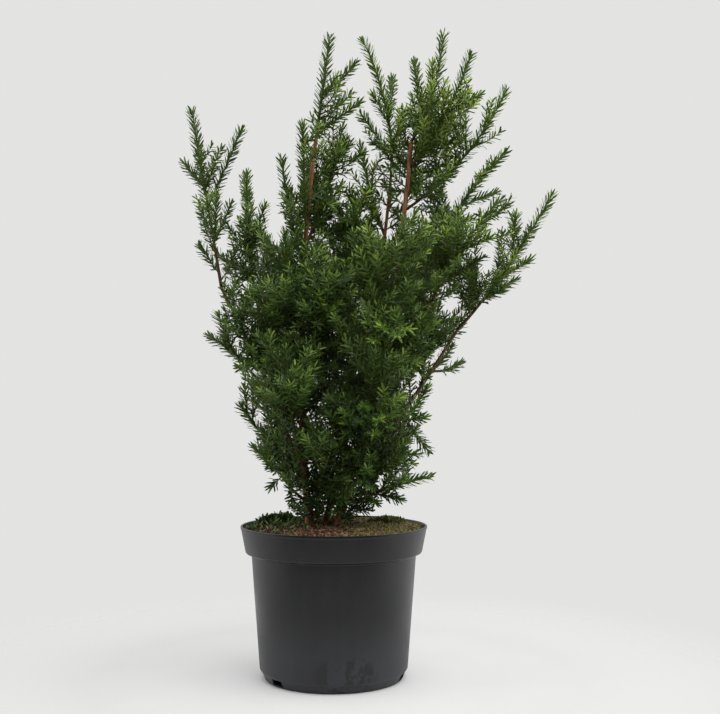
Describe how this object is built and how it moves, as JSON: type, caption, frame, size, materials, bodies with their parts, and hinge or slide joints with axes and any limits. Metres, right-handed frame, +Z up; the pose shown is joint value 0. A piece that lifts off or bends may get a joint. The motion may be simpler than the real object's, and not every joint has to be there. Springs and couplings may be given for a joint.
{
  "type": "potted hillii yew",
  "caption": "Young upright evergreen yew shrub with rising stems, boughs and needle-covered masses of foliage, standing in a round dark grey nursery pot of soil with moss.",
  "frame": {"origin": "centre of the pot's flat underside, which stands on the ground", "axes": "+Z up along the height, +X to the right of the front view, +Y to the back; the front faces -Y"},
  "size_m": [0.5775, 0.3835, 0.9933],
  "materials": {
    "pot": "satin dark grey moulded plastic with fine vertical streaks",
    "soil": "loose peaty soil with reddish-brown litter",
    "moss": "dull yellow-green moss",
    "bark": "thin flaking reddish-brown bark",
    "bark_young": "smooth olive-brown young bark",
    "foliage": "satin flat needles, dark green above and paler below"
  },
  "bodies": {
    "root": {"pot": "pot", "soil": "soil", "moss_left": "moss", "moss_right": "moss", "stem_left": "bark", "stem_right": "bark", "stem_back": "bark", "bough_outer_left": "bark_young", "bough_outer_right": "bark_young", "bough_right_upper": "bark_young", "bough_right_middle": "bark_young", "bough_left_inner": "bark_young", "bough_left_low": "bark_young", "bough_front_left": "bark_young", "bough_front_right": "bark_young", "bough_low_right": "bark_young", "bough_skirt_right": "bark_young", "bough_skirt_left": "bark_young", "bough_back_left": "bark_young", "bough_back_centre": "bark_young", "bough_back_right": "bark_young", "bough_low_back": "bark_young", "crown_left_top": "foliage", "crown_left_side": "foliage", "left_finger": "foliage", "crown_left_back": "foliage", "centre_finger": "foliage", "crown_mid_top": "foliage", "crown_right_top": "foliage", "crown_right_outer": "foliage", "crown_right_back": "foliage", "arm_right_upper": "foliage", "arm_right_middle": "foliage", "shoulder_right": "foliage", "arm_right_outer": "foliage", "right_inner": "foliage", "low_right_arm": "foliage", "low_right": "foliage", "skirt_right": "foliage", "skirt_left": "foliage", "low_left": "foliage", "left_low_outer": "foliage", "arm_left_outer": "foliage", "left_middle": "foliage", "left_inner": "foliage", "left_shoulder": "foliage", "front_left_column": "foliage", "front_fork": "foliage", "centre_top": "foliage", "centre_front": "foliage", "front_right": "foliage", "front_low": "foliage", "front_column_right": "foliage", "front_low_right": "foliage", "back_left": "foliage", "back_centre": "foliage", "back_right": "foliage", "back_low": "foliage", "back_low_left": "foliage", "back_low_right": "foliage"}
  },
  "joints": []
}
